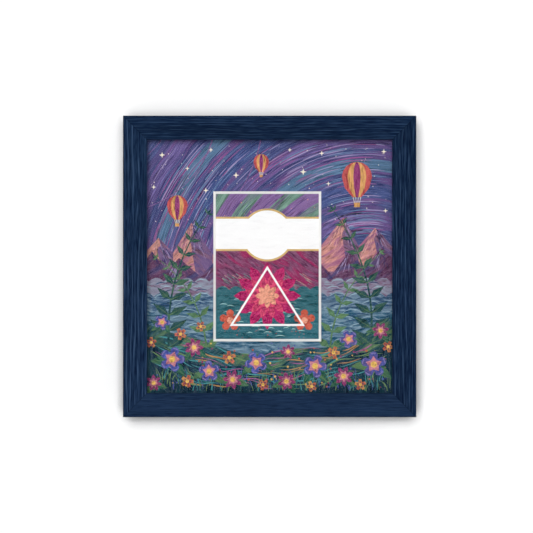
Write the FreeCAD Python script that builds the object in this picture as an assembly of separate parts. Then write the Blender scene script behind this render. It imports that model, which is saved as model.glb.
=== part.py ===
# A small wall frame for one trading card. Four mitred mouldings hold a pane, a printed board with a
# bevelled window, the card behind that window and a backing board. Millimetres, +Z up, front to -Y.
import FreeCAD
import Part
import math
import os

# Moulding
frame_width = 172.2
frame_height = 177.0
rail_face = 14.2          # width of a rail seen from the front
rail_depth = 20.0
lip_thickness = 5.0       # front lip that the pane rests against
lip_overlap = 3.2         # how far the lip reaches over the pane
lip_draft = 0.4           # the sight edge leans back by this much
outer_ease = 1.0          # radius along the outer front edge
sight_ease = 0.7          # radius along the sight edge
back_chamfer = 0.6

# Sheets in the rebate
sheet_clearance = 0.5     # between a sheet's edge and the rebate
pane_thickness = 2.0
board_thickness = 1.4
backing_thickness = 3.0
ink_thickness = 0.03      # one level of print; later colours lie on earlier ones
board_ink_levels = 16
card_ink_levels = 9

# Card and its window
card_width = 63.0
card_height = 88.0
card_thickness = 0.32
card_clearance = 0.4      # between the card and its pocket
window_cover = 0.95       # how far the board covers each edge of the card
window_shift = -1.4       # the window sits this far right of the frame's middle

# Card design
band_height = 20.3
band_rise = 19.3          # the band's middle above the card's middle
medallion_radius = 15.7
medallion_rise = 18.7     # the medallion's middle above the card's middle
gold_width = 1.15
triangle_width = 44.7
triangle_height = 35.7
triangle_drop = 17.5      # the triangle's middle below the card's middle
triangle_line = 1.2
rosette_radius = 20.0
corner_flower_radius = 6.5

# Picture on the board, set out on a grid of columns and rows that fills the sheet
picture_column_count = 150
picture_row_count = 154

# Fixings
point_width = 6.5
point_thickness = 0.4
point_tang = 6.0          # depth driven into the rebate wall
point_reach = 9.0         # length over the backing board
point_clip = 1.2          # clipped corners of the tab
point_spacing = 74.0      # between the two points on one rail
v_nail_leg = 3.4
v_nail_thickness = 0.4
v_nail_height = 7.0
v_nail_places = (3.4, 7.0)    # from the outer edges, along both rails
standoff = 2.2            # hanger and bumpers reach this far behind the rails
hanger_length = 44.0
hanger_height = 8.4
hanger_gauge = 0.8
hanger_foot = 7.0         # flat end that lies on the rail
hanger_ramp = 2.2
tooth_count = 11
tooth_depth = 1.7
nail_radius = 0.6
nail_length = 7.0
nail_head_radius = 1.5
nail_head_height = 0.6
bumper_radius = 4.0
bumper_slope = 0.6        # sloping rim round its back face
bumper_inset = 6.4        # from the frame's outer edges to a bumper's middle

# Places that follow from the sizes above
front_y = -(rail_depth + standoff) / 2
rail_back_y = front_y + rail_depth
lip_back_y = front_y + lip_thickness
pane_back_y = lip_back_y + pane_thickness
board_front_y = pane_back_y + board_ink_levels * ink_thickness
board_back_y = board_front_y + board_thickness
card_front_y = board_back_y + card_ink_levels * ink_thickness
card_back_y = card_front_y + card_thickness
backing_back_y = card_back_y + backing_thickness
rebate_edge = rail_face - lip_overlap
middle_z = frame_height / 2
sheet_width = frame_width - 2 * (rebate_edge + sheet_clearance)
sheet_height = frame_height - 2 * (rebate_edge + sheet_clearance)
window_width = card_width - 2 * window_cover
window_height = card_height - 2 * window_cover
bevel_width = window_width + 2 * board_thickness      # the window's 45 degree edge at the front
bevel_height = window_height + 2 * board_thickness
column = sheet_width / picture_column_count
row = sheet_height / picture_row_count
cell = min(column, row)
reach = 2 * max(frame_width, frame_height)            # well past every edge of the sheet

X_AXIS = FreeCAD.Vector(1, 0, 0)
Y_AXIS = FreeCAD.Vector(0, 1, 0)
Z_AXIS = FreeCAD.Vector(0, 0, 1)
FULL_TURN = 360.0


def at(x, y, z):
    return FreeCAD.Vector(x, y, z)


def save(node, shape):
    """Writes the closed solids of one sub-part to parts/NODE.step."""
    solids = Part.makeCompound(shape.Solids)
    solids.exportStep(os.path.join("parts", node + ".step"))


def outline(points):
    """A face in the picture plane through (x, z) points."""
    ring = [at(x, 0, z) for x, z in points]
    return Part.Face(Part.makePolygon(ring + ring[:1]))


def rectangle(width, height, x=0.0, z=0.0):
    """A face in the picture plane, centred on (x, z)."""
    half_w, half_h = width / 2, height / 2
    corners = ((-half_w, -half_h), (half_w, -half_h), (half_w, half_h), (-half_w, half_h))
    return outline([(x + dx, z + dz) for dx, dz in corners])


def slab(face, y_from, y_to):
    """The picture-plane face as a solid between two depths."""
    block = face.extrude(Y_AXIS * (y_to - y_from))
    block.translate(Y_AXIS * y_from)
    return block


# Moulding

def moulding_profile():
    """Section of the moulding: y is depth, z runs from the outer edge to the sight edge."""
    corners = [
        at(0, front_y, 0),
        at(0, front_y, rail_face),
        at(0, lip_back_y, rail_face - lip_draft),
        at(0, lip_back_y, rebate_edge),
        at(0, rail_back_y, rebate_edge),
        at(0, rail_back_y, 0),
    ]
    return Part.Face(Part.makePolygon(corners + corners[:1]))


def edges_along_x(stick, y, z):
    """The long edges of a stick that pass through (y, z)."""
    def lies_there(edge):
        middle = edge.CenterOfMass
        return abs(middle.y - y) < 0.01 and abs(middle.z - z) < 0.01 and edge.BoundBox.XLength > 1
    return [edge for edge in stick.Edges if lies_there(edge)]


def rail(length):
    """A mitred length of moulding along X, its outer edge at z = 0."""
    stick = moulding_profile().extrude(X_AXIS * length)
    stick.translate(X_AXIS * (-length / 2))
    stick = stick.makeFillet(outer_ease, edges_along_x(stick, front_y, 0))
    stick = stick.makeFillet(sight_ease, edges_along_x(stick, front_y, rail_face))
    stick = stick.makeChamfer(back_chamfer, edges_along_x(stick, rail_back_y, 0))
    half = length / 2
    inner = half - rail_face
    mitred = outline([(-half, 0), (half, 0), (inner, rail_face), (-inner, rail_face)])
    return stick.common(slab(mitred, front_y, rail_back_y))


def on_side(shape, side):
    """Turns a shape made for the bottom rail to the named side of the frame."""
    turns = {"bottom": 0, "left": 90, "top": 180, "right": -90}
    places = {
        "bottom": at(0, 0, 0),
        "left": at(-frame_width / 2, 0, middle_z),
        "top": at(0, 0, frame_height),
        "right": at(frame_width / 2, 0, middle_z),
    }
    turned = shape.copy()
    turned.Placement = FreeCAD.Placement(places[side], FreeCAD.Rotation(Y_AXIS, turns[side]))
    return turned


def v_nail(along):
    """A bent steel wedge across a mitre, its bend towards the frame's outer corner."""
    spread = math.radians(52)
    bend = (0, 0)
    thick = v_nail_thickness
    legs = []
    for side in (-1, 1):
        tip = (side * v_nail_leg * math.sin(spread), v_nail_leg * math.cos(spread))
        legs.append(outline([bend, tip, (tip[0], tip[1] + thick), (0, thick)]))
    wedge = legs[0].fuse(legs[1]).removeSplitter()
    wedge = slab(wedge, rail_back_y - v_nail_height, rail_back_y)
    wedge.rotate(at(0, 0, 0), Y_AXIS, 45)
    wedge.translate(at(along, 0, along))
    return wedge


def corner_v_nails():
    """Two wedges in the back of each mitre."""
    nails = []
    for along in v_nail_places:
        lower_left = v_nail(along)
        lower_left.translate(X_AXIS * (-frame_width / 2))
        lower_right = lower_left.mirror(at(0, 0, 0), X_AXIS)
        for nail in (lower_left, lower_right):
            nails.append(nail)
            nails.append(nail.mirror(at(0, 0, middle_z), Z_AXIS))
    return Part.makeCompound(nails)


# Fixings behind the sheets

def retaining_point(x):
    """A flat steel point for the bottom rail: its tang is in the wood, its tab on the backing."""
    half = point_width / 2
    tip = rebate_edge - point_tang
    end = rebate_edge + point_reach
    tab = outline([
        (x, tip), (x + half, tip + half), (x + half, end - point_clip), (x + half - point_clip, end),
        (x - half + point_clip, end), (x - half, end - point_clip), (x - half, tip + half),
    ])
    return slab(tab, backing_back_y, backing_back_y + point_thickness)


def retaining_points(side):
    pair = [retaining_point(x) for x in (-point_spacing / 2, point_spacing / 2)]
    return on_side(Part.makeCompound(pair), side)


def hanger_strip():
    """Sawtooth strip on the top rail, raised off the wood between its two feet."""
    half = hanger_length / 2
    foot_end = half - hanger_foot
    flat_end = foot_end - hanger_ramp
    low = rail_back_y
    high = rail_back_y + standoff - hanger_gauge
    near = [(-half, low), (-foot_end, low), (-flat_end, high), (flat_end, high), (foot_end, low), (half, low)]
    section = [at(x, y, 0) for x, y in near] + [at(x, y + hanger_gauge, 0) for x, y in reversed(near)]
    strip = Part.Face(Part.makePolygon(section + section[:1])).extrude(Z_AXIS * hanger_height)
    pitch = 2 * flat_end / tooth_count
    for tooth in range(tooth_count):
        left = -flat_end + tooth * pitch
        notch = outline([(left, 0), (left + pitch / 2, tooth_depth), (left + pitch, 0)])
        strip = strip.cut(slab(notch, low, low + standoff))
    for x in hanger_nail_places():
        strip = strip.cut(slab(nail_section(x, hanger_height / 2, nail_radius), low, low + standoff))
    strip.translate(Z_AXIS * hanger_bottom_z())
    return strip


def hanger_bottom_z():
    return frame_height - (rebate_edge + hanger_height) / 2


def hanger_nail_places():
    x = (hanger_length - hanger_foot) / 2
    return (-x, x)


def nail_section(x, z, radius):
    """A nail's shank is drawn with twelve sides."""
    return outline([polar(x, z, radius, 30 * corner) for corner in range(12)])


def hanger_nails():
    """Two round-head nails through the hanger's feet."""
    seat_y = rail_back_y + hanger_gauge
    point_y = seat_y - nail_length
    z = hanger_bottom_z() + hanger_height / 2
    nails = []
    for x in hanger_nail_places():
        shank = slab(nail_section(x, z, nail_radius), point_y + nail_radius, seat_y)
        shoulder = nail_section(x, z, nail_radius)
        shoulder.translate(Y_AXIS * (point_y + nail_radius))
        point = nail_section(x, z, nail_radius / 8)
        point.translate(Y_AXIS * point_y)
        tip = Part.makeLoft([shoulder.OuterWire, point.OuterWire], True, True)
        head = Part.makeCone(nail_head_radius, nail_radius, nail_head_height, at(x, seat_y, z), Y_AXIS)
        nails.append(shank.fuse(tip).fuse(head))
    return Part.makeCompound(nails)


def bumper(side):
    """A soft disc on a lower corner of the back, side -1 for left and 1 for right."""
    place = at(side * (frame_width / 2 - bumper_inset), rail_back_y, bumper_inset)
    straight = Part.makeCylinder(bumper_radius, standoff - bumper_slope, place, Y_AXIS)
    place.y = rail_back_y + standoff - bumper_slope
    sloped = Part.makeCone(bumper_radius, bumper_radius - bumper_slope, bumper_slope, place, Y_AXIS)
    return straight.fuse(sloped)


def build_frame():
    """Rails with the pockets that their fixings were driven into."""
    v_nails = corner_v_nails()
    nails = hanger_nails()
    lengths = {"bottom": frame_width, "top": frame_width, "left": frame_height, "right": frame_height}
    for side, length in lengths.items():
        points = retaining_points(side)
        wood = on_side(rail(length), side).cut(points).cut(v_nails)
        if side == "top":
            wood = wood.cut(nails)
        save(side + "_rail", wood)
        save(side + "_retaining_points", points)
    save("corner_v_nails", v_nails)
    save("sawtooth_hanger", hanger_strip())
    save("hanger_nails", nails)
    save("left_bumper", bumper(-1))
    save("right_bumper", bumper(1))


def build_sheets():
    sheet = rectangle(sheet_width, sheet_height, 0, middle_z)
    save("clear_pane", slab(sheet, lip_back_y, pane_back_y))
    board = slab(sheet, board_front_y, board_back_y)
    wide = rectangle(bevel_width, bevel_height, window_shift, middle_z)
    narrow = rectangle(window_width, window_height, window_shift, middle_z)
    wide.translate(Y_AXIS * board_front_y)
    narrow.translate(Y_AXIS * board_back_y)
    window = Part.makeLoft([wide.OuterWire, narrow.OuterWire], True, True)
    save("backdrop_board", board.cut(window))
    pocket_width = card_width + 2 * card_clearance
    pocket_height = card_height + 2 * card_clearance
    pocket = rectangle(pocket_width, pocket_height, window_shift, middle_z)
    save("card_locator", slab(sheet.cut(pocket), board_back_y, card_back_y))
    card = rectangle(card_width, card_height, window_shift, middle_z)
    save("card", slab(card, card_front_y, card_back_y))
    save("backing_board", slab(sheet, card_back_y, backing_back_y))


# Flat shapes for the print, drawn about the middle of the picture

def polar(x, z, radius, degrees):
    angle = math.radians(degrees)
    return (x + radius * math.cos(angle), z + radius * math.sin(angle))


def disc(x, z, radius):
    return Part.Face(Part.Wire([Part.Circle(at(x, 0, z), -Y_AXIS, radius).toShape()]))


def crescent(x, z, radius, width, lean):
    """A ring that swells to the upper left: its outer circle is moved that way by lean."""
    outer_x, outer_z = polar(x, z, lean, 125)
    return disc(outer_x, outer_z, radius + width).cut(disc(x, z, radius))


def spiked(x, z, radius, points, turn, waist=0.6):
    """A star whose hollows reach in to a share of its radius."""
    step = FULL_TURN / points
    ring = []
    for point in range(points):
        ring.append(polar(x, z, radius, turn + point * step))
        ring.append(polar(x, z, radius * waist, turn + (point + 0.5) * step))
    return outline(ring)


def round_blossom(x, z, radius, petals, turn, waist=0.5):
    """Round petals that meet in notches at a share of the radius."""
    steps = 6 * petals
    ring = []
    for step in range(steps):
        angle = FULL_TURN * step / steps
        swell = abs(math.cos(math.radians(angle * petals / 2))) ** 0.6
        ring.append(polar(x, z, radius * (waist + (1 - waist) * swell), turn + angle))
    return outline(ring)


def pointed_blossom(x, z, radius, petals, turn, waist=0.45):
    """Pointed petals with a shoulder on each side."""
    step = FULL_TURN / petals
    ring = []
    for petal in range(petals):
        tip = turn + petal * step
        ring.append(polar(x, z, radius * waist, tip - step / 2))
        ring.append(polar(x, z, radius * (0.6 + waist / 3), tip - step * 0.33))
        ring.append(polar(x, z, radius, tip))
        ring.append(polar(x, z, radius * (0.6 + waist / 3), tip + step * 0.33))
    return outline(ring)


def blunt_blossom(x, z, radius, petals, turn, waist=0.5):
    """Petals cut off straight at their ends."""
    step = FULL_TURN / petals
    ring = []
    for petal in range(petals):
        tip = turn + petal * step
        ring.append(polar(x, z, radius * waist, tip - step / 2))
        ring.append(polar(x, z, radius, tip - step * 0.2))
        ring.append(polar(x, z, radius, tip + step * 0.2))
    return outline(ring)


def leaf(base, length, width, heading):
    """A pointed leaf, widest before its middle."""
    sides = [[], []]
    for along, across in ((0.22, 0.38), (0.45, 0.5), (0.75, 0.3)):
        mid_x, mid_z = polar(base[0], base[1], length * along, heading)
        sides[0].append(polar(mid_x, mid_z, width * across, heading - 90))
        sides[1].append(polar(mid_x, mid_z, width * across, heading + 90))
    return outline([base] + sides[0] + [polar(base[0], base[1], length, heading)] + sides[1][::-1])


def leaflet(base, length, heading):
    """A narrow kite, widest near its base."""
    shoulder_x, shoulder_z = polar(base[0], base[1], length * 0.4, heading)
    left = polar(shoulder_x, shoulder_z, length * 0.2, heading + 90)
    right = polar(shoulder_x, shoulder_z, length * 0.2, heading - 90)
    return outline([base, right, polar(base[0], base[1], length, heading), left])


def fern(base, bend, tip, pairs, length):
    """A bent stem with pairs of leaflets that shrink towards its tip."""
    def on_stem(share):
        keep = 1 - share
        x = keep * keep * base[0] + 2 * keep * share * bend[0] + share * share * tip[0]
        z = keep * keep * base[1] + 2 * keep * share * bend[1] + share * share * tip[1]
        return (x, z)
    shapes = []
    left, right = [], []
    for pair in range(pairs + 1):
        share = pair / pairs
        here, ahead = on_stem(share), on_stem(share + 0.01)
        heading = math.degrees(math.atan2(ahead[1] - here[1], ahead[0] - here[0]))
        size = length * (1 - 0.72 * share)
        left.append(polar(here[0], here[1], size * 0.05, heading + 90))
        right.append(polar(here[0], here[1], size * 0.05, heading - 90))
        for turn in (-58, 58):
            shapes.append(leaflet(here, size, heading + turn))
    shapes.append(leaflet(tip, size, heading))
    shapes.append(outline(left + right[::-1]))
    return shapes


def balloon(x, z, half, share=1.0):
    """A balloon's envelope, or a gore in its middle that has a share of its width."""
    ring = [(0.28, -1.35), (0.8, -0.75)]
    ring += [polar(0, 0, 1, 180 * step / 8) for step in range(9)]
    ring += [(-0.8, -0.75), (-0.28, -1.35)]
    return outline([(x + share * half * dx, z + half * dz) for dx, dz in ring])


def balloon_basket(x, z, half):
    return rectangle(0.4 * half, 0.3 * half, x, z - 1.85 * half)


def ground_below(skyline):
    """Everything below a broken skyline, out past both sides of the sheet."""
    ends = [(reach, skyline[-1][1]), (reach, -reach), (-reach, -reach), (-reach, skyline[0][1])]
    return outline(list(skyline) + ends)


def water_below(z, pitch, rise):
    """Everything below a row of rounded crests, out past both sides of the sheet."""
    crests = math.ceil(reach / pitch) - 1
    crest_shape = ((0, 0), (0.2, 0.62), (0.45, 1), (0.75, 0.82))
    edge = []
    for crest in range(-crests, crests):
        edge += [((crest + share) * pitch, z + rise * height) for share, height in crest_shape]
    return ground_below(edge)


def meadow_below(z, swell):
    """A rolling meadow, low in the middle."""
    steps = 18
    edge = []
    for step in range(steps + 1):
        x = picture_column_count * (step / steps - 0.5)
        edge.append((x, z + 0.0035 * x * x + swell * math.sin(x / 9)))
    return ground_below(on_grid(edge))


# Where the motifs stand on the grid, from the picture's middle: (column, row, radius in cells)
stars = (
    (-64, 66, 1.9), (-49, 58, 1.3), (-35, 69, 1.5), (-20, 54, 1.9), (12, 69, 1.3), (20, 56, 2.1),
    (31, 67, 1.6), (68, 68, 1.7), (69, 33, 1.5), (35, 49, 1.4), (-69, 47, 1.5), (-38, 45, 1.7),
)
balloons = ((52, 53, 9.0), (-55, 36, 6.2), (-5, 62, 4.6))
round_flowers = (
    (-58, -55, 7.6), (-36, -62, 6.4), (-8, -57, 6.8), (27, -59, 7.2), (62, -58, 7.8), (47, -43, 5.6),
    (-64, -33, 4.8),
)
pointed_flowers = (
    (-45, -48, 5.8), (-22, -67, 6.0), (10, -68, 5.6), (44, -65, 6.0), (-69, -69, 5.0), (66, -38, 5.2),
    (11, -50.5, 4.6),
)
small_flowers = (
    (-49, -68, 3.8), (-24, -54, 4.0), (-4, -70, 3.4), (38, -51, 3.8), (54, -70, 3.4), (-53, -40, 3.6),
    (70.5, -47.5, 3.4), (-70.5, -45, 3.2), (25, -71, 3.2), (-41, -35.5, 3.0),
)
far_ridge = (
    (-78, 4), (-66, 17), (-57.5, 8), (-46.5, 26), (-34, 7), (-18, 20), (-4, 8),
    (14, 25), (28, 9), (44, 29), (53, 12), (63, 23), (78, 6),
)
near_ridge = (
    (-78, -2), (-70, 9), (-61, -3), (-54, 5), (-41, -6), (-30, 6), (-14, -5), (0, 7),
    (12, -4), (27, 5), (37, -5), (48, 10), (56, -1), (67, 11), (78, 0),
)


def on_grid(places):
    return [(x * column, z * row) for x, z in places]


def motifs(places):
    """Grid places with a radius, in millimetres."""
    return [(x * column, z * row, radius * cell) for x, z, radius in places]


def sky_arcs(first, every):
    """Crescents round a point low on the right."""
    (x, z), = on_grid([(58, -20)])
    radii = [(45 + 16 * index) * column for index in range(first, 7, every)]
    return [crescent(x, z, radius, 4.4 * column, 3.4 * column) for radius in radii]


def rose_arcs():
    """Thin crescents round a point past the upper left corner."""
    (x, z), = on_grid([(-92, 92)])
    return [crescent(x, z, (32 + 28 * index) * column, 1.7 * column, 1.2 * column) for index in range(3)]


def lit_slopes():
    """The left slope of each far peak."""
    slopes = []
    for index in range(1, len(far_ridge) - 1, 2):
        (foot_x, foot_z), (top_x, top_z) = far_ridge[index - 1], far_ridge[index]
        base_z = foot_z - 12
        spur = [(top_x + 2.4, base_z), (top_x - 1, (top_z + foot_z) / 2), (top_x + 1.6, top_z - 4)]
        slope = [(top_x, top_z), (foot_x, foot_z), (foot_x, base_z)] + spur
        slopes.append(outline(on_grid(slope)))
    return slopes


def ferns(stems, pairs, length):
    shapes = []
    for stem in stems:
        shapes += fern(*on_grid(stem), pairs, length * cell)
    return shapes


def flower_leaves():
    """Two leaves that spread from behind each large flower."""
    leaves = []
    for index, (x, z, radius) in enumerate(motifs(round_flowers + pointed_flowers)):
        for heading in (185 + 17 * (index % 4), 305 + 17 * (index % 3)):
            leaves.append(leaf((x, z), radius * 1.75, radius * 0.75, heading))
    return leaves


def each_turned(shape, places, petals, share, *more):
    """A copy of one flower shape at each place, at a share of its radius and each with its own turn."""
    turned = []
    for index, (x, z, radius) in enumerate(motifs(places)):
        turned.append(shape(x, z, radius * share, petals, 23 * index, *more))
    return turned


def merged(shapes):
    """Overlapping flat shapes of one plane as the fewest faces."""
    faces = []
    for shape in shapes:
        faces += [face if face.normalAt(0, 0).y < 0 else face.reversed() for face in shape.Faces]
    if len(faces) == 1:
        return faces[0].copy()
    return Part.makeShell(faces[0].multiFuse(faces[1:]).Faces).removeSplitter()


def ink(node, level, shapes, sheet):
    """Prints flat shapes on one level of a sheet. The sheet gives its outline and where its paper begins."""
    ground, paper_y = sheet
    printed = ground.common(merged(shapes))
    printed.translate(Z_AXIS * middle_z)
    back_y = paper_y - level * ink_thickness
    save(node, Part.makeCompound([slab(face, back_y - ink_thickness, back_y) for face in printed.Faces]))


def print_board():
    window = rectangle(bevel_width, bevel_height, window_shift, 0)
    board = (rectangle(sheet_width, sheet_height).cut(window), board_front_y)
    sky = (rectangle(sheet_width, sheet_height / 2, 0, sheet_height / 4).cut(window), board_front_y)
    ink("print_sky", 0, [rectangle(sheet_width, sheet_height)], board)
    ink("print_lilac_arcs", 1, sky_arcs(0, 3), sky)
    ink("print_blue_arcs", 1, sky_arcs(1, 3), sky)
    ink("print_teal_arcs", 1, sky_arcs(2, 3), sky)
    ink("print_rose_arcs", 2, rose_arcs(), sky)
    ink("print_stars", 3, [spiked(x, z, radius, 4, 0, 0.32) for x, z, radius in motifs(stars)], sky)
    places = motifs(balloons)
    gores = [balloon(*place, 0.62) for place in places] + [balloon_basket(*place) for place in places]
    ink("print_balloons", 3, [balloon(*place) for place in places], sky)
    ink("print_balloon_gores", 4, gores, sky)
    ink("print_balloon_stripes", 5, [balloon(*place, 0.24) for place in places], sky)
    ink("print_far_peaks", 3, [ground_below(on_grid(far_ridge))], board)
    ink("print_lit_slopes", 4, lit_slopes(), board)
    ink("print_near_peaks", 5, [ground_below(on_grid(near_ridge))], board)
    ink("print_far_water", 6, [water_below(-9 * row, 9.0 * cell, 2.3 * cell)], board)
    ink("print_middle_water", 7, [water_below(-18 * row, 11.5 * cell, 2.9 * cell)], board)
    ink("print_near_water", 8, [water_below(-28 * row, 14.0 * cell, 3.5 * cell)], board)
    ink("print_far_meadow", 9, [meadow_below(-51, 1.6)], board)
    ink("print_near_meadow", 10, [meadow_below(-62, -2.2)], board)
    short_stems = (((-37.5, -48), (-41, -14), (-67, 5)), ((36, -48), (38, -16), (66, 8)))
    tall_stems = (((-60, -48), (-63, -4), (-37, 31)), ((60, -46), (65, -4), (38, 33)))
    ink("print_short_ferns", 10, ferns(short_stems, 7, 11), board)
    ink("print_tall_ferns", 11, ferns(tall_stems, 9, 14.5), board)
    ink("print_leaves", 12, flower_leaves(), board)
    ink("print_round_blossoms", 13, each_turned(round_blossom, round_flowers, 5, 1), board)
    ink("print_pointed_blossoms", 13, each_turned(pointed_blossom, pointed_flowers, 7, 1), board)
    ink("print_small_blossoms", 13, each_turned(blunt_blossom, small_flowers, 5, 1), board)
    throats = each_turned(spiked, round_flowers, 5, 0.64) + each_turned(spiked, pointed_flowers, 7, 0.6)
    ink("print_blossom_throats", 14, throats, board)
    hearts = each_turned(spiked, round_flowers + pointed_flowers, 3, 0.27, 1)
    hearts += each_turned(spiked, small_flowers, 3, 0.32, 1)
    ink("print_blossom_hearts", 15, hearts, board)


def print_card():
    """The picture goes on behind the window, under a bare label and a triangle."""
    card = (rectangle(card_width, card_height, window_shift, 0), card_front_y)
    middle = (window_shift, -triangle_drop)
    corners = [(window_shift + side * card_width * 0.35, -card_height * 0.364) for side in (-1, 1)]
    ink("card_sky_print", 0, [rectangle(card_width, card_height, window_shift, 0)], card)
    (x, z), = on_grid([(58, -20)])
    arcs = [crescent(x, z, (50 + 15 * index) * column, 5 * column, 3.4 * column) for index in range(4)]
    ink("card_arcs_print", 1, arcs, card)
    ink("card_peaks_print", 2, [ground_below(on_grid(far_ridge))], card)
    ink("card_water_print", 3, [water_below(-14 * row, 8.0 * cell, 2.4 * cell)], card)
    ink("card_near_water_print", 4, [water_below(-31 * row, 10.5 * cell, 2.8 * cell)], card)
    ink("card_rosette_print", 5, [pointed_blossom(*middle, rosette_radius, 12, 0, 0.62)], card)
    ink("card_rosette_inner_print", 6, [pointed_blossom(*middle, rosette_radius * 0.68, 12, 15, 0.6)], card)
    blossoms = [round_blossom(*place, corner_flower_radius, 5, 90) for place in corners]
    ink("card_blossoms_print", 6, blossoms, card)
    hearts = [spiked(*place, corner_flower_radius * 0.32, 3, 0, 1) for place in corners]
    hearts.append(pointed_blossom(*middle, rosette_radius * 0.36, 8, 0, 0.6))
    ink("card_hearts_print", 7, hearts, card)
    ink("card_gold_print", 7, [label(gold_width)], card)
    ink("card_label_print", 8, [label(0)], card)
    ink("card_triangle_print", 8, [triangle_drawn()], card)


def label(grow):
    """A band across the card with a round middle, larger by grow on every side."""
    height = band_height - 2 * gold_width + 2 * grow
    band = rectangle(2 * card_width, height, window_shift, band_rise)
    return merged([band, disc(window_shift, medallion_rise, medallion_radius - gold_width + grow)])


def triangle_drawn():
    """The triangle's three lines, with the triangle inside them left open."""
    half, foot = triangle_width / 2, -triangle_drop - triangle_height / 2
    outer = [(window_shift - half, foot), (window_shift + half, foot), (window_shift, foot + triangle_height)]
    side = math.hypot(half, triangle_height)
    inner_radius = half * triangle_height / (half + side)
    centre = at(window_shift, 0, foot + inner_radius)
    inner = outline(outer)
    inner.scale(1 - triangle_line / inner_radius, centre)
    return outline(outer).cut(inner)


os.makedirs("parts", exist_ok=True)
build_frame()
build_sheets()
print_board()
print_card()
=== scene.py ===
import math
import random

import bmesh
import bpy
from bpy.props import FloatProperty, FloatVectorProperty, PointerProperty
from mathutils import Matrix, Vector


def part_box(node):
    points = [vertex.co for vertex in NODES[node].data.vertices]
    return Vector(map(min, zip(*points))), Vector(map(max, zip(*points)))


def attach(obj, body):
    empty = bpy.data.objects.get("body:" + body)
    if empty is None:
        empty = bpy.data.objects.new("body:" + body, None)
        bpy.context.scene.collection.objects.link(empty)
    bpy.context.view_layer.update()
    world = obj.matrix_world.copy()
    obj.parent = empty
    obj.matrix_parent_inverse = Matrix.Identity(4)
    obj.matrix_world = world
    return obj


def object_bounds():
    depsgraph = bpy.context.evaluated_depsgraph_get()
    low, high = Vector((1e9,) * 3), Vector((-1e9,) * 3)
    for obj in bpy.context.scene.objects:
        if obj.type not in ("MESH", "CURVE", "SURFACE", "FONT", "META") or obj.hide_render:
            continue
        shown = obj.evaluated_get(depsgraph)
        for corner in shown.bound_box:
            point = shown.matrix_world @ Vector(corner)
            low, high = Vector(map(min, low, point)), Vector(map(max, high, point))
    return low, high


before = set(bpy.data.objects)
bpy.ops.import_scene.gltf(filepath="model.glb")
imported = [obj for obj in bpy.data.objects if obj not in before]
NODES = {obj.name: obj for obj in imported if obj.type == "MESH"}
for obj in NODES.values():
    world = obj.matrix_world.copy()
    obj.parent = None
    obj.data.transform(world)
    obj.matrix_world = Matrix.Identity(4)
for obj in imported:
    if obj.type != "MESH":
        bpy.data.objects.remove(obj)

bl_info = {
    "name": "Trading card frame",
    "version": (1, 0, 0),
    "blender": (4, 5, 0),
    "location": "View3D > Sidebar > Card Frame",
    "description": "Finishes, print details and studio for a small navy frame round one trading card",
    "category": "Object",
}

MM = 0.001
CAD_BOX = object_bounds()
FRAME_LOW = Vector(CAD_BOX[0])
FRAME_HIGH = Vector(CAD_BOX[1])
HALF_WIDTH = FRAME_HIGH.x
MIDDLE_Z = FRAME_HIGH.z / 2
# For each rail: the axis of its grain, how light or dark the whole rail is drawn (the top and right rails
# darkest), how far its body colour is drawn towards the paler grain colour, how plain its growth rings show,
# how close they stand, where the first one is and how soon one fades
RAILS = {
    "top_rail": dict(
        axis="X", tone=0.88, body_paling=0.0, figure=0.6, closeness=1.3, first_ring=0.1, ring_length=0.13,
    ),
    "bottom_rail": dict(
        axis="X", tone=0.97, body_paling=0.17, figure=0.2, closeness=1.15, first_ring=0.6, ring_length=0.16,
    ),
    "left_rail": dict(
        axis="Z", tone=0.98, body_paling=0.05, figure=0.9, closeness=1.0, first_ring=0.45, ring_length=0.3,
    ),
    "right_rail": dict(
        axis="Z", tone=0.87, body_paling=0.0, figure=0.8, closeness=1.2, first_ring=0.8, ring_length=0.2,
    ),
}
BOARD_LOW, BOARD_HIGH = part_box("backdrop_board")
PICTURE_COLUMNS, PICTURE_ROWS = 150, 154     # grid that the board's picture is set out on
COLUMN = (BOARD_HIGH.x - BOARD_LOW.x) / PICTURE_COLUMNS
ROW = (BOARD_HIGH.z - BOARD_LOW.z) / PICTURE_ROWS
CELL = min(COLUMN, ROW)
LIP_COVER = 3 * MM       # width of the board's edge that the rails hide
BEVEL_REACH = 0.5 * MM   # how far the window's bevel opens past the card's edge
CARD_LOW, CARD_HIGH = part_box("card")
WINDOW_X = (CARD_LOW.x + CARD_HIGH.x) / 2
WINDOW_HALF = Vector((
    (CARD_HIGH.x - CARD_LOW.x) / 2 + BEVEL_REACH, (CARD_HIGH.z - CARD_LOW.z) / 2 + BEVEL_REACH,
))
ARC_CENTRE = (58 * COLUMN, MIDDLE_Z - 20 * ROW)
ARC_REACH = 85 * MM      # radius at which strokes along the arcs have the run below
ARC_RUN = 14             # length of such a stroke, in pitches
LEVEL = 0.03 * MM        # thickness of one level of ink
FINE = 0.018 * MM        # thickness of a fine line on it
# Levels of ink that fine lines are drawn on, counted from the paper
BOARD_INK = dict(
    arcs=1, balloons=3, lit_slopes=4, near_peaks=5, far_water=6, middle_water=7, near_water=8,
    far_meadow=9, near_meadow=10, short_ferns=10, tall_ferns=11, leaves=12, petals=13,
)
CARD_INK = dict(arcs=1, peaks=2, water=3, near_water=4, rosette=5, inner=6)
CAMERA_PLACE = (-1.86 * MM, FRAME_LOW.y - 737.9 * MM, 88.45 * MM)


def srgb(red, green, blue):
    """A display colour of 0 to 255 a channel, as the linear colour that Blender keeps."""
    def linear(value):
        value /= 255
        return value / 12.92 if value <= 0.04045 else ((value + 0.055) / 1.055) ** 2.4
    return (linear(red), linear(green), linear(blue))


def colour(name, description, *display):
    return FloatVectorProperty(
        name=name, description=description, default=srgb(*display), subtype="COLOR", size=3, min=0.0, max=1.0,
    )


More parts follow.
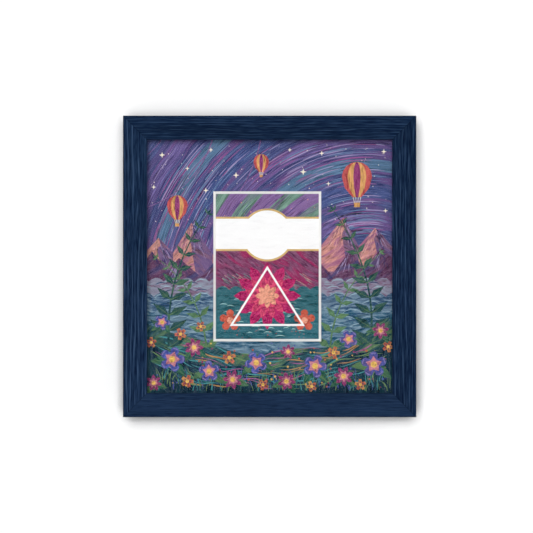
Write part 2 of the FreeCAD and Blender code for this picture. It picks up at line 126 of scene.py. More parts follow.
def length(name, description, default):
    return FloatProperty(
        name=name, description=description, default=default,
        min=0.0, unit="LENGTH", subtype="DISTANCE", precision=5,
    )


def power(name, description, default):
    return FloatProperty(name=name, description=description, default=default, unit="POWER")


# Settings

class CARDFRAME_PG_wood(bpy.types.PropertyGroup):
    """Stain and grain of the moulding."""
    deep: colour("Deep stain", "Darkest tone, in the wood's pores", 7, 21, 45)
    body: colour("Stain", "Main navy of the stained wood", 10, 30, 57)
    rubbed: colour("Rubbed grain", "Paler tone where the stain is thin on the growth rings", 54, 77, 108)
    ring_pitch: length("Ring pitch", "Distance between growth rings across a rail", 2.35 * MM)
    ring_run: length("Ring run", "Length over which a growth ring wanders", 75 * MM)
    pore_pitch: length("Pore pitch", "Distance between pores across a rail", 0.5 * MM)
    pore_run: length("Pore run", "Length of a pore", 8 * MM)
    mitre_line: length("Mitre line", "Width of the dark line along each mitre", 0.3 * MM)


class CARDFRAME_PG_fittings(bpy.types.PropertyGroup):
    """Colours of the plain parts."""
    steel: colour("Steel", "Zinc plated steel of the points, wedges, hanger and nails", 176, 178, 182)
    rubber: colour("Rubber", "Bumpers on the back", 30, 30, 32)
    core: colour("Board core", "White core of the board, seen in the window's bevel", 254, 254, 251)
    card: colour("Card stock", "Blank stock of the card", 244, 243, 240)
    locator: colour("Locator board", "Grey board that holds the card in place", 178, 174, 165)
    fibreboard: colour("Fibreboard", "Backing board", 150, 112, 78)
    fibre_dark: colour("Fibre fleck", "Dark fibres in the backing board", 122, 88, 60)


class CARDFRAME_PG_board_inks(bpy.types.PropertyGroup):
    """Colours of the picture on the board."""
    sky: colour("Sky", "Ground of the sky", 70, 78, 124)
    sky_deep: colour("Deep sky", "Dark strokes in the sky", 50, 52, 98)
    sky_glow: colour("Sky glow", "Rose strokes in the sky", 116, 82, 138)
    lilac: colour("Lilac arcs", "Lilac crescents", 98, 86, 138)
    blue: colour("Blue arcs", "Blue crescents", 64, 78, 126)
    teal: colour("Teal arcs", "Teal crescents", 78, 108, 138)
    rose: colour("Rose arcs", "Thin rose crescents", 116, 86, 134)
    star: colour("Stars", "Stars", 244, 236, 214)
    balloon: colour("Balloons", "Balloon envelopes", 176, 78, 78)
    gore: colour("Balloon gores", "Paler gores and baskets", 196, 146, 90)
    stripe: colour("Balloon stripes", "Middle stripe of each balloon", 132, 52, 104)
    far_peak: colour("Far peaks", "Distant mountains", 124, 90, 116)
    ridge_light: colour("Ridge light", "Palest strokes on the far peaks", 206, 160, 150)
    lit_slope: colour("Lit slopes", "Sunlit faces of the far peaks", 186, 131, 123)
    near_peak: colour("Near peaks", "Nearer mountains", 96, 62, 92)
    far_water: colour("Far water", "Furthest row of waves", 134, 108, 136)
    middle_water: colour("Middle water", "Second row of waves", 54, 86, 122)
    near_water: colour("Near water", "Nearest row of waves", 46, 92, 122)
    foam: colour("Foam", "Pale strokes along the waves", 150, 176, 190)
    far_meadow: colour("Far meadow", "Upper meadow", 34, 72, 84)
    near_meadow: colour("Near meadow", "Lower meadow", 22, 48, 66)
    grass: colour("Grass", "Light strokes in the meadows", 104, 136, 88)
    short_fern: colour("Short ferns", "Paler ferns", 78, 116, 86)
    tall_fern: colour("Tall ferns", "Darker ferns", 34, 70, 74)
    leaf: colour("Leaves", "Leaves of the flowers", 42, 90, 74)
    round_petal: colour("Round petals", "Round blossoms", 74, 84, 158)
    pointed_petal: colour("Pointed petals", "Pointed blossoms", 142, 54, 104)
    small_petal: colour("Small petals", "Small blossoms", 184, 98, 72)
    throat: colour("Throats", "Inner petals", 184, 120, 132)
    heart: colour("Hearts", "Hearts of the blossoms", 220, 176, 92)
    streak_pale: colour("Pale streaks", "Pale lilac streaks in the sky", 158, 146, 186)
    streak_rose: colour("Rose streaks", "Rose streaks in the sky", 148, 84, 140)
    streak_blue: colour("Blue streaks", "Light blue streaks in the sky", 104, 134, 168)
    trough: colour("Troughs", "Dark lines between the waves", 34, 66, 104)
    furrow_rose: colour("Rose furrows", "Rose lines in the meadows", 156, 92, 140)
    furrow_teal: colour("Teal furrows", "Teal lines in the meadows", 66, 140, 146)
    furrow_gold: colour("Gold furrows", "Warm lines in the meadows", 176, 134, 84)


class CARDFRAME_PG_card_inks(bpy.types.PropertyGroup):
    """Colours of the picture on the card."""
    sky: colour("Card sky", "Ground of the card", 104, 136, 122)
    arcs: colour("Card arcs", "Crescents on the card", 118, 90, 138)
    peaks: colour("Card peaks", "Mountains on the card", 112, 66, 98)
    water: colour("Card water", "Far waves on the card", 44, 94, 104)
    near_water: colour("Card near water", "Near waves on the card", 42, 96, 108)
    rosette: colour("Rosette", "Outer petals behind the triangle", 172, 36, 96)
    inner: colour("Inner rosette", "Inner petals behind the triangle", 198, 66, 104)
    blossoms: colour("Card blossoms", "Blossoms in the lower corners", 184, 84, 66)
    hearts: colour("Card hearts", "Hearts on the card", 222, 150, 126)
    gold: colour("Gold line", "Edge of the label", 206, 174, 112)
    label: colour("Label", "Bare label and triangle", 252, 252, 252)
    vein: colour("Rosette veins", "Dark lines on the rosette", 110, 14, 70)
    streak: colour("Card streaks", "Streaks in the card's sky", 74, 60, 120)
    glint: colour("Card glints", "Light strokes in the card's water", 168, 212, 208)
    peak_light: colour("Card peak strokes", "Pale strokes down the card's mountains", 190, 158, 146)
    peak_cool: colour("Card peak cool strokes", "Teal strokes down the card's mountains", 92, 134, 132)


class CARDFRAME_PG_studio(bpy.types.PropertyGroup):
    """Camera, lamps and backdrop."""
    lens: FloatProperty(name="Lens", description="Focal length of the camera", default=85.0, unit="CAMERA")
    key_power: power("Key", "Power of the large lamp in front", 15.8)
    side_power: power("Side fill", "Power of the lamp at the side", 5.0)
    back_power: power("Back", "Power of the lamp behind", 10.0)
    ambient: FloatProperty(name="Ambient", description="Light from all round", default=0.15, min=0.0, max=1.0)
    backdrop: colour("Backdrop", "Wall and floor", 252, 252, 252)


GROUPS = {
    "cardframe_wood": CARDFRAME_PG_wood,
    "cardframe_fittings": CARDFRAME_PG_fittings,
    "cardframe_board_inks": CARDFRAME_PG_board_inks,
    "cardframe_card_inks": CARDFRAME_PG_card_inks,
    "cardframe_studio": CARDFRAME_PG_studio,
}


# Nodes of a material

def put(tree, kind, inputs=None, **options):
    """Adds a node with these options, and links or sets its inputs."""
    new = tree.nodes.new(kind)
    for option, value in options.items():
        setattr(new, option, value)
    for key, value in (inputs or {}).items():
        if isinstance(value, bpy.types.NodeSocket):
            tree.links.new(value, new.inputs[key])
        else:
            new.inputs[key].default_value = value
    return new


def calc(tree, operation, first, second=0.0):
    """One step of arithmetic on sockets or numbers."""
    return put(tree, "ShaderNodeMath", {0: first, 1: second}, operation=operation).outputs[0]


def opaque(rgb):
    return (rgb[0], rgb[1], rgb[2], 1.0)


def ramp(tree, factor, stops):
    """Colours or greys along a factor, from (place, colour) stops."""
    new = put(tree, "ShaderNodeValToRGB", {"Fac": factor})
    points = new.color_ramp.elements
    while len(points) < len(stops):
        points.new(0.5)
    for point, (place, value) in zip(points, stops):
        point.position = place
        point.color = opaque(value)
    return new.outputs["Color"]


def grey(value):
    return (value, value, value)


def mixed(tree, factor, first, second, blend="MIX"):
    """Two colours or sockets blended by a factor."""
    new = put(tree, "ShaderNodeMix", {"Factor": factor}, data_type="RGBA", blend_type=blend)
    for socket, value in ((new.inputs[6], first), (new.inputs[7], second)):
        if isinstance(value, bpy.types.NodeSocket):
            tree.links.new(value, socket)
        else:
            socket.default_value = opaque(value)
    return new.outputs[2]


def toned(rgb, factor):
    return tuple(min(1.0, channel * factor) for channel in rgb)


def between(first, second, share):
    return tuple(a + (b - a) * share for a, b in zip(first, second))


def bare_material(name):
    """A material with no shader yet, and the object's own coordinates."""
    material = bpy.data.materials.new(name)
    material.use_nodes = True
    tree = material.node_tree
    tree.nodes.clear()
    place = put(tree, "ShaderNodeTexCoord").outputs["Object"]
    return material, tree, place


def blank_material(name):
    """A material with a Principled shader, and the object's own coordinates."""
    material = bpy.data.materials.new(name)
    material.use_nodes = True
    tree = material.node_tree
    shader = tree.nodes["Principled BSDF"]
    place = put(tree, "ShaderNodeTexCoord").outputs["Object"]
    return material, tree, shader, place


def noise(tree, place, scale, detail, roughness=0.5):
    """Soft noise, scale in waves a metre for each axis."""
    stretched = put(tree, "ShaderNodeMapping", {"Vector": place, "Scale": scale}).outputs["Vector"]
    return put(tree, "ShaderNodeTexNoise", {
        "Vector": stretched, "Scale": 1.0, "Detail": detail, "Roughness": roughness,
    }).outputs["Fac"]


def bump(tree, height, distance, strength):
    """Normals raised by a height, with the distance from its lowest to its highest place."""
    inputs = {"Height": height, "Distance": distance, "Strength": strength}
    return put(tree, "ShaderNodeBump", inputs).outputs["Normal"]


# Finishes

def along(axis, run, pitch):
    """Scale of a pattern that runs along one axis: (x, y, z) waves a metre."""
    return (1 / run, 1 / pitch, 1 / pitch) if axis == "X" else (1 / pitch, 1 / pitch, 1 / run)


def stained_wood(name, wood, axis, tone, body_paling, figure, closeness, first_ring, ring_length):
    """Navy stained wood: thin pale growth rings and fine pores along one axis, and dark mitres."""
    lean, stray = 0.8, 3.4   # how far the rings lean with depth, and how many pitches they wander
    material, tree, shader, place = blank_material(name)
    x, y, z = put(tree, "ShaderNodeSeparateXYZ", {0: place}).outputs
    across = calc(tree, "ADD", z if axis == "X" else x, calc(tree, "MULTIPLY", y, lean))
    across = calc(tree, "ADD", calc(tree, "MULTIPLY", across, closeness / wood.ring_pitch), first_ring)
    wander = noise(tree, place, along(axis, wood.ring_run, wood.ring_pitch * 3.5), 2.0)
    rings = calc(tree, "PINGPONG", calc(tree, "ADD", across, calc(tree, "MULTIPLY", wander, stray)), 0.5)
    line = ramp(tree, rings, [(0.05, grey(1.0)), (0.12, grey(0.45)), (0.20, grey(0.0))])
    fading = ramp(tree, noise(tree, place, along(axis, wood.ring_run * ring_length, wood.ring_pitch), 1.0), [
        (0.40, grey(0.12 * figure)), (0.60, grey(figure)),
    ])
    shown = mixed(tree, 1.0, line, fading, "MULTIPLY")
    pores = noise(tree, place, along(axis, wood.pore_run, wood.pore_pitch), 2.0, 0.6)
    # each rail's body colour drawn partly towards the paler grain colour, most on the bottom rail
    body = between(wood.body, wood.rubbed, body_paling)
    stain = ramp(tree, pores, [
        (0.34, between(body, wood.deep, 0.5 + 0.5 * figure)), (0.46, body),
        (0.60, between(body, wood.rubbed, 0.07 + 0.19 * figure)),
    ])
    stain = mixed(tree, shown, stain, wood.rubbed)
    # each rail drawn lighter or darker overall by its tone, the top and right rails darkest, in random
    # patches
    patches = noise(tree, place, along(axis, 50 * MM, 8 * MM), 2.0)
    shade = ramp(tree, patches, [(0.3, grey(0.82 * tone)), (0.7, grey(1.12 * tone))])
    stain = mixed(tree, 1.0, stain, shade, "MULTIPLY")
    from_side = calc(tree, "SUBTRACT", HALF_WIDTH, calc(tree, "ABSOLUTE", x))
    from_end = calc(tree, "SUBTRACT", MIDDLE_Z, calc(tree, "ABSOLUTE", calc(tree, "SUBTRACT", z, MIDDLE_Z)))
    off_mitre = calc(tree, "ABSOLUTE", calc(tree, "SUBTRACT", from_side, from_end))
    off_mitre = calc(tree, "DIVIDE", off_mitre, wood.mitre_line * 2)
    joint = ramp(tree, off_mitre, [(0.3, grey(0.68)), (0.7, grey(1.0))])
    tree.links.new(mixed(tree, 1.0, stain, joint, "MULTIPLY"), shader.inputs["Base Color"])
    relief = calc(tree, "ADD", calc(tree, "MULTIPLY", pores, 0.5), calc(tree, "MULTIPLY", shown, 0.35))
    tree.links.new(bump(tree, relief, 0.1 * MM, 0.5), shader.inputs["Normal"])
    shader.inputs["Roughness"].default_value = 0.5
    shader.inputs["Specular IOR Level"].default_value = 0.03
    return material


def flecked(name, body, fleck, scale, roughness, relief=0.03 * MM):
    """Board with soft mottling of one tone into another."""
    material, tree, shader, place = blank_material(name)
    spread = noise(tree, place, (scale, scale, scale), 4.0, 0.65)
    tree.links.new(ramp(tree, spread, [(0.36, fleck), (0.56, body)]), shader.inputs["Base Color"])
    tree.links.new(bump(tree, spread, relief, 0.4), shader.inputs["Normal"])
    shader.inputs["Roughness"].default_value = roughness
    shader.inputs["Specular IOR Level"].default_value = 0.3
    return material


def plated_steel(name, body):
    """Zinc plated steel, lightly brushed along X."""
    material, tree, shader, place = blank_material(name)
    brushed = noise(tree, place, (300, 2600, 2600), 3.0, 0.6)
    tones = ramp(tree, brushed, [(0.3, toned(body, 0.72)), (0.7, toned(body, 1.12))])
    tree.links.new(tones, shader.inputs["Base Color"])
    rough = ramp(tree, brushed, [(0.3, grey(0.28)), (0.7, grey(0.42))])
    tree.links.new(rough, shader.inputs["Roughness"])
    shader.inputs["Metallic"].default_value = 0.9
    return material


def clear_pane(name):
    """Clear sheet that reflects a little and lets lamps through."""
    material, tree, place = bare_material(name)
    ripple = noise(tree, place, (14, 14, 14), 1.0)
    facing = put(tree, "ShaderNodeFresnel", {"IOR": 1.12, "Normal": bump(tree, ripple, 0.02 * MM, 0.3)})
    through = put(tree, "ShaderNodeBsdfTransparent")
    gloss = put(tree, "ShaderNodeBsdfGlossy", {"Roughness": 0.06})
    both = put(tree, "ShaderNodeMixShader", {
        0: facing.outputs[0], 1: through.outputs[0], 2: gloss.outputs[0],
    })
    put(tree, "ShaderNodeOutputMaterial", {"Surface": both.outputs[0]})
    return material


def stroke_place(tree, place, stroke, pitch):
    """The coordinates that brush strokes follow, one wave of noise for each pitch across a stroke."""
    if stroke == "arcs":
        x, _, z = put(tree, "ShaderNodeSeparateXYZ", {0: place}).outputs
        over = calc(tree, "SUBTRACT", x, ARC_CENTRE[0])
        up = calc(tree, "SUBTRACT", z, ARC_CENTRE[1])
        squares = calc(tree, "ADD", calc(tree, "MULTIPLY", over, over), calc(tree, "MULTIPLY", up, up))
        out = calc(tree, "DIVIDE", calc(tree, "SQRT", squares), pitch)
        turn = calc(tree, "MULTIPLY", calc(tree, "ARCTAN2", over, up), ARC_REACH / (pitch * ARC_RUN))
        return put(tree, "ShaderNodeCombineXYZ", {"X": out, "Y": turn, "Z": 0.0}).outputs[0]
    turns = {"level": 0.0, "upright": 90.0, "rising": 34.0, "falling": -34.0, "dabs": 20.0}
    run = 1.6 if stroke == "dabs" else 6.0
    turned = put(tree, "ShaderNodeVectorRotate", {
        "Vector": place, "Axis": (0.0, 1.0, 0.0), "Angle": math.radians(turns[stroke]),
    }, rotation_type="AXIS_ANGLE").outputs[0]
    return put(tree, "ShaderNodeMapping", {
        "Vector": turned, "Scale": along("X", pitch * run, pitch),
    }).outputs[0]


def painted(
    name, body, stroke="dabs", pitch=1.0 * MM,
    light=None, deep=None, accent=None, strength=1.0, sway=5 * MM,
):
    """Ink printed in brush strokes: deep, body and light tones of one colour, with patches of an accent."""
    light = light or between(toned(body, 1 + 0.6 * strength), (1.0, 1.0, 1.0), 0.03 * strength)
    deep = deep or toned(body, 1 - 0.62 * strength)
    accent = accent or between(body, light, 0.6)
    material, tree, shader, place = blank_material(name)
    drift = put(tree, "ShaderNodeTexNoise", {"Vector": place, "Scale": 60.0, "Detail": 1.0}).outputs["Color"]
    offset = put(tree, "ShaderNodeVectorMath", {0: drift, "Scale": sway}, operation="SCALE").outputs[0]
    swayed = put(tree, "ShaderNodeVectorMath", {0: place, 1: offset}, operation="ADD").outputs[0]
    lie = stroke_place(tree, swayed, stroke, pitch)
    bristles = put(tree, "ShaderNodeTexNoise", {
        "Vector": lie, "Scale": 1.0, "Detail": 3.0, "Roughness": 0.62, "Distortion": 0.5,
    }).outputs["Fac"]
    broad = put(tree, "ShaderNodeTexNoise", {
        "Vector": lie, "Scale": 0.28, "Detail": 1.0, "Distortion": 0.8,
    }).outputs["Fac"]
    tones = ramp(tree, bristles, [
        (0.33, deep), (0.45, body), (0.56, between(body, light, 0.35)), (0.68, light),
    ])
    patch = ramp(tree, broad, [(0.48, grey(0.0)), (0.64, grey(0.62 * strength))])
    tree.links.new(mixed(tree, patch, tones, accent), shader.inputs["Base Color"])
    tree.links.new(bump(tree, bristles, 0.02 * MM, 0.3), shader.inputs["Normal"])
    shader.inputs["Roughness"].default_value = 0.6
    shader.inputs["Specular IOR Level"].default_value = 0.02
    return material


def dress(obj, material):
    """Gives an object this one material."""
    obj.data.materials.clear()
    obj.data.materials.append(material)


# Shapes

def add_object(name, bm, material):
    """Turns a bmesh into a named object of the scene."""
    mesh = bpy.data.meshes.new(name)
    bm.to_mesh(mesh)
    bm.free()
    obj = bpy.data.objects.new(name, mesh)
    bpy.context.scene.collection.objects.link(obj)
    dress(obj, material)
    return obj


def finish_piece(name, bm, material):
    """Turns a bmesh into a named piece that rides on the frame."""
    bmesh.ops.recalc_face_normals(bm, faces=bm.faces)
    piece = add_object(name, bm, material)
    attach(piece, "root")


def brush_line(bm, start, end, back_y, thickness, width_start, width_end):
    """A thin raised line between two (x, z) points, as wide as asked at each end."""
    run = Vector((end[0] - start[0], 0, end[1] - start[1]))
    verts = bmesh.ops.create_cube(bm, size=1.0)["verts"]
    bmesh.ops.scale(bm, vec=(run.length, thickness, 1), verts=verts)
    bmesh.ops.scale(bm, vec=(1, 1, width_start), verts=[v for v in verts if v.co.x < 0])
    bmesh.ops.scale(bm, vec=(1, 1, width_end), verts=[v for v in verts if v.co.x > 0])
    bmesh.ops.rotate(bm, verts=verts, matrix=Matrix.Rotation(-math.atan2(run.z, run.x), 3, "Y"))
    middle = ((start[0] + end[0]) / 2, back_y - thickness / 2, (start[1] + end[1]) / 2)
    bmesh.ops.translate(bm, verts=verts, vec=middle)


def narrow(face, share):
    """Draws the corners of an end face together."""
    middle = face.calc_center_median()
    for vert in face.verts:
        vert.co = middle.lerp(vert.co, share)


def arc_line(bm, centre, radius, start, sweep, width, back_y, thickness):
    """A thin raised line with fine ends, along a circle about (x, z), by a start and a sweep in degrees."""
    x, z = polar(*centre, radius, start)
    section = bmesh.ops.create_grid(bm, x_segments=1, y_segments=1, size=0.5)["verts"]
    bmesh.ops.scale(bm, vec=(width, thickness, 1), verts=section)
    bmesh.ops.rotate(bm, verts=section, matrix=Matrix.Rotation(-math.radians(start), 3, "Y"))
    bmesh.ops.translate(bm, verts=section, vec=(x, back_y - thickness / 2, z))
    first = section[0].link_faces[0]
    turned = bmesh.ops.spin(
        bm, geom=[first], cent=(centre[0], 0, centre[1]), axis=(0, -1, 0), angle=math.radians(sweep),
        steps=max(3, round(abs(sweep) / 5)), use_duplicate=False,
    )
    last = next(item for item in turned["geom_last"] if isinstance(item, bmesh.types.BMFace))
    narrow(first, 0.3)
    narrow(last, 0.3)


def wave_line(bm, points, widths, back_y, thickness):
    """A thin raised band through (x, z) points, with a width at each point."""
    steps = len(points) - 1
    flat = bmesh.ops.create_grid(bm, x_segments=steps, y_segments=1, size=0.5)["verts"]
    faces = {face for vert in flat for face in vert.link_faces}
    faces = sorted(faces, key=lambda face: face.calc_center_median().x)
    made = bmesh.ops.extrude_face_region(bm, geom=faces)["geom"]
    raised = [item for item in made if isinstance(item, bmesh.types.BMVert)]
    bmesh.ops.translate(bm, verts=raised, vec=(0, 0, 1))
    for vert in flat + raised:
        index = round((vert.co.x + 0.5) * steps)
        before, after = points[max(index - 1, 0)], points[min(index + 1, steps)]
        heading = math.atan2(after[1] - before[1], after[0] - before[0])
        side = widths[index] * vert.co.y
        x, z = points[index]
        vert.co = (x - side * math.sin(heading), back_y - thickness * vert.co.z, z + side * math.cos(heading))


def dot(bm, x, z, radius, back_y, thickness, sides=8):
    """A thin raised dot."""
    bmesh.ops.create_cone(
        bm, cap_ends=True, segments=sides, radius1=radius, radius2=radius * 0.8, depth=thickness,
        matrix=Matrix.Translation((x, back_y - thickness / 2, z)) @ Matrix.Rotation(math.pi / 2, 4, "X"),
    )


def polar(x, z, radius, degrees):
    """The (x, z) place at a radius and an angle from another."""
    angle = math.radians(degrees)
    return (x + radius * math.cos(angle), z + radius * math.sin(angle))


def on_print(x, z, margin=1 * MM):
    """True on the board's picture, clear of its edges and of the window."""
    up = abs(z - MIDDLE_Z)
    half_height = (BOARD_HIGH.z - BOARD_LOW.z) / 2
    inside = abs(x) < BOARD_HIGH.x - LIP_COVER - margin and up < half_height - LIP_COVER - margin
    by_window = abs(x - WINDOW_X) < WINDOW_HALF.x + margin and up < WINDOW_HALF.y + margin
    return inside and not by_window


def board_level(name):
    """The y of the back of a line that is drawn on this ink of the board."""
    return BOARD_LOW.y - (BOARD_INK[name] + 1) * LEVEL


def card_level(name):
    """The y of the back of a line that is drawn on this ink of the card."""
    return CARD_LOW.y - (CARD_INK[name] + 1) * LEVEL


def on_grid(column, row):
    """The (x, z) place of a column and row of the picture's grid, counted from its middle."""
    return (column * COLUMN, MIDDLE_Z + row * ROW)


# Where the motifs of the board stand on its grid, from the middle: (column, row, radius in cells)
BALLOONS = ((52, 53, 9.0), (-55, 36, 6.2), (-5, 62, 4.6))
ROUND_FLOWERS = (
    (-58, -55, 7.6), (-36, -62, 6.4), (-8, -57, 6.8), (27, -59, 7.2), (62, -58, 7.8), (47, -43, 5.6),
    (-64, -33, 4.8),
)
POINTED_FLOWERS = (
    (-45, -48, 5.8), (-22, -67, 6.0), (10, -68, 5.6), (44, -65, 6.0), (-69, -69, 5.0), (66, -38, 5.2),
    (11, -50.5, 4.6),
)
SMALL_FLOWERS = (
    (-49, -68, 3.8), (-24, -54, 4.0), (-4, -70, 3.4), (38, -51, 3.8), (54, -70, 3.4), (-53, -40, 3.6),
    (70.5, -47.5, 3.4), (-70.5, -45, 3.2), (25, -71, 3.2), (-41, -35.5, 3.0),
)
# Skylines of the peaks and the bent stems of the ferns, as (column, row)
FAR_RIDGE = (
    (-78, 4), (-66, 17), (-57.5, 8), (-46.5, 26), (-34, 7), (-18, 20), (-4, 8),
    (14, 25), (28, 9), (44, 29), (53, 12), (63, 23), (78, 6),
)
NEAR_RIDGE = (
    (-78, -2), (-70, 9), (-61, -3), (-54, 5), (-41, -6), (-30, 6), (-14, -5), (0, 7),
    (12, -4), (27, 5), (37, -5), (48, 10), (56, -1), (67, 11), (78, 0),
)
SHORT_FERNS = (((-37.5, -48), (-41, -14), (-67, 5)), ((36, -48), (38, -16), (66, 8)))
TALL_FERNS = (((-60, -48), (-63, -4), (-37, 31)), ((60, -46), (65, -4), (38, 33)))


def on_stem(base, bend, tip, share):
    """The place on a fern's bent stem at a share of its length."""
    keep = 1 - share
    return on_grid(*(
        keep * keep * a + 2 * keep * share * b + share * share * c for a, b, c in zip(base, bend, tip)
    ))


# Pieces

class CARDFRAME_OT_moulding(bpy.types.Operator):
    """Stains the four rails, each with its grain along its length"""
    bl_idname = "cardframe.moulding"
    bl_label = "Moulding"

    def execute(self, context):
        wood = context.scene.cardframe_wood
        for rail, looks in RAILS.items():
            dress(NODES[rail], stained_wood(rail + "_stain", wood, **looks))
        return {"FINISHED"}


class CARDFRAME_OT_sheets(bpy.types.Operator):
    """Finishes the pane, the boards, the blank card and the backing"""
    bl_idname = "cardframe.sheets"
    bl_label = "Sheets"

    def execute(self, context):
        tints = context.scene.cardframe_fittings
        dress(NODES["clear_pane"], clear_pane("pane"))
        boards = {
            "backdrop_board": ("board_core", tints.core, toned(tints.core, 0.97), 900, 0.8),
            "card": ("card_stock", tints.card, toned(tints.card, 0.95), 700, 0.6),
            "card_locator": ("locator_board", tints.locator, toned(tints.locator, 0.8), 900, 0.85),
            "backing_board": ("fibreboard", tints.fibreboard, tints.fibre_dark, 1300, 0.85, 0.08 * MM),
        }
        for node, look in boards.items():
            dress(NODES[node], flecked(*look))
        return {"FINISHED"}


class CARDFRAME_OT_fixings(bpy.types.Operator):
    """Finishes the steel points, wedges, hanger and nails, and the rubber bumpers"""
    bl_idname = "cardframe.fixings"
    bl_label = "Fixings"

    def execute(self, context):
        tints = context.scene.cardframe_fittings
        steel = plated_steel("zinc_plated_steel", tints.steel)
        for node in ("corner_v_nails", "hanger_nails", "sawtooth_hanger"):
            dress(NODES[node], steel)
        for side in ("bottom", "left", "right", "top"):
            dress(NODES[side + "_retaining_points"], steel)
        rubber = flecked("bumper_rubber", tints.rubber, toned(tints.rubber, 0.7), 1500, 0.75)
        for node in ("left_bumper", "right_bumper"):
            dress(NODES[node], rubber)
        return {"FINISHED"}


class CARDFRAME_OT_board_print(bpy.types.Operator):
    """Prints the board's picture in brush strokes"""
    bl_idname = "cardframe.board_print"
    bl_label = "Board print"

    def execute(self, context):
        ink = context.scene.cardframe_board_inks
        finishes = {
            "print_sky": dict(
                body=ink.sky, stroke="arcs", pitch=1.1 * MM,
                deep=ink.sky_deep, accent=ink.sky_glow, sway=3 * MM,
            ),
            "print_lilac_arcs": dict(
                body=ink.lilac, stroke="arcs", pitch=0.8 * MM, accent=ink.sky_glow, sway=3 * MM,
            ),
            "print_blue_arcs": dict(
                body=ink.blue, stroke="arcs", pitch=0.8 * MM, deep=ink.sky_deep, sway=3 * MM,
            ),
            "print_teal_arcs": dict(body=ink.teal, stroke="arcs", pitch=0.8 * MM, sway=3 * MM),
            "print_rose_arcs": dict(body=ink.rose, stroke="falling", pitch=0.9 * MM),
            "print_stars": dict(body=ink.star, strength=0.2),
            "print_balloons": dict(body=ink.balloon, stroke="upright"),
            "print_balloon_gores": dict(body=ink.gore, stroke="upright"),
            "print_balloon_stripes": dict(body=ink.stripe, stroke="upright"),
            "print_far_peaks": dict(
                body=ink.far_peak, stroke="falling", pitch=1.3 * MM, accent=ink.lilac,
            ),
            "print_lit_slopes": dict(
                body=ink.lit_slope, stroke="rising", pitch=0.8 * MM, accent=ink.streak_rose,
            ),
            "print_near_peaks": dict(
                body=ink.near_peak, stroke="rising", pitch=1.3 * MM, accent=ink.blue,
            ),
            "print_far_water": dict(body=ink.far_water, stroke="level", pitch=1.1 * MM, light=ink.foam),
            "print_middle_water": dict(
                body=ink.middle_water, stroke="level", pitch=1.2 * MM, light=ink.foam,
            ),
            "print_near_water": dict(
                body=ink.near_water, stroke="level", pitch=1.4 * MM, light=ink.foam,
            ),
            "print_far_meadow": dict(
                body=ink.far_meadow, stroke="rising", pitch=1.2 * MM, accent=ink.grass,
            ),
            "print_near_meadow": dict(
                body=ink.near_meadow, stroke="upright", pitch=1.2 * MM, accent=ink.far_meadow,
            ),
            "print_short_ferns": dict(body=ink.short_fern, stroke="rising", accent=ink.grass),
            "print_tall_ferns": dict(body=ink.tall_fern, stroke="rising", accent=ink.short_fern),
            "print_leaves": dict(body=ink.leaf, stroke="falling", pitch=0.9 * MM, accent=ink.grass),
            "print_round_blossoms": dict(body=ink.round_petal, pitch=1.4 * MM, accent=ink.lilac),
            "print_pointed_blossoms": dict(body=ink.pointed_petal, pitch=1.3 * MM),
            "print_small_blossoms": dict(body=ink.small_petal, pitch=1.2 * MM, accent=ink.heart),
            "print_blossom_throats": dict(body=ink.throat, pitch=1.1 * MM),
            "print_blossom_hearts": dict(body=ink.heart, pitch=0.9 * MM),
        }
        for node, finish in finishes.items():
            dress(NODES[node], painted(node + "_ink", **finish))
        return {"FINISHED"}


class CARDFRAME_OT_card_print(bpy.types.Operator):
    """Prints the card's picture, its bare label and its triangle"""
    bl_idname = "cardframe.card_print"
    bl_label = "Card print"

    def execute(self, context):
        ink = context.scene.cardframe_card_inks
        finishes = {
            "card_sky_print": dict(body=ink.sky, stroke="arcs", pitch=1.2 * MM, accent=ink.arcs),
            "card_arcs_print": dict(body=ink.arcs, stroke="arcs", pitch=0.9 * MM),
            "card_peaks_print": dict(
                body=ink.peaks, stroke="falling", pitch=1.1 * MM, accent=ink.rosette,
            ),
            "card_water_print": dict(body=ink.water, stroke="level"),
            "card_near_water_print": dict(body=ink.near_water, stroke="level", pitch=1.2 * MM),
            "card_rosette_print": dict(body=ink.rosette, pitch=1.2 * MM),
            "card_rosette_inner_print": dict(body=ink.inner, pitch=1.1 * MM),
            "card_blossoms_print": dict(body=ink.blossoms, pitch=1.1 * MM),
            "card_hearts_print": dict(body=ink.hearts, pitch=0.9 * MM),
            "card_gold_print": dict(body=ink.gold, stroke="level", strength=0.4),
            "card_label_print": dict(body=ink.label, stroke="level", pitch=2.0 * MM, strength=0.06),
            "card_triangle_print": dict(body=ink.label, stroke="level", pitch=2.0 * MM, strength=0.06),
        }
        for node, finish in finishes.items():
            dress(NODES[node], painted(node + "_ink", **finish))
        return {"FINISHED"}


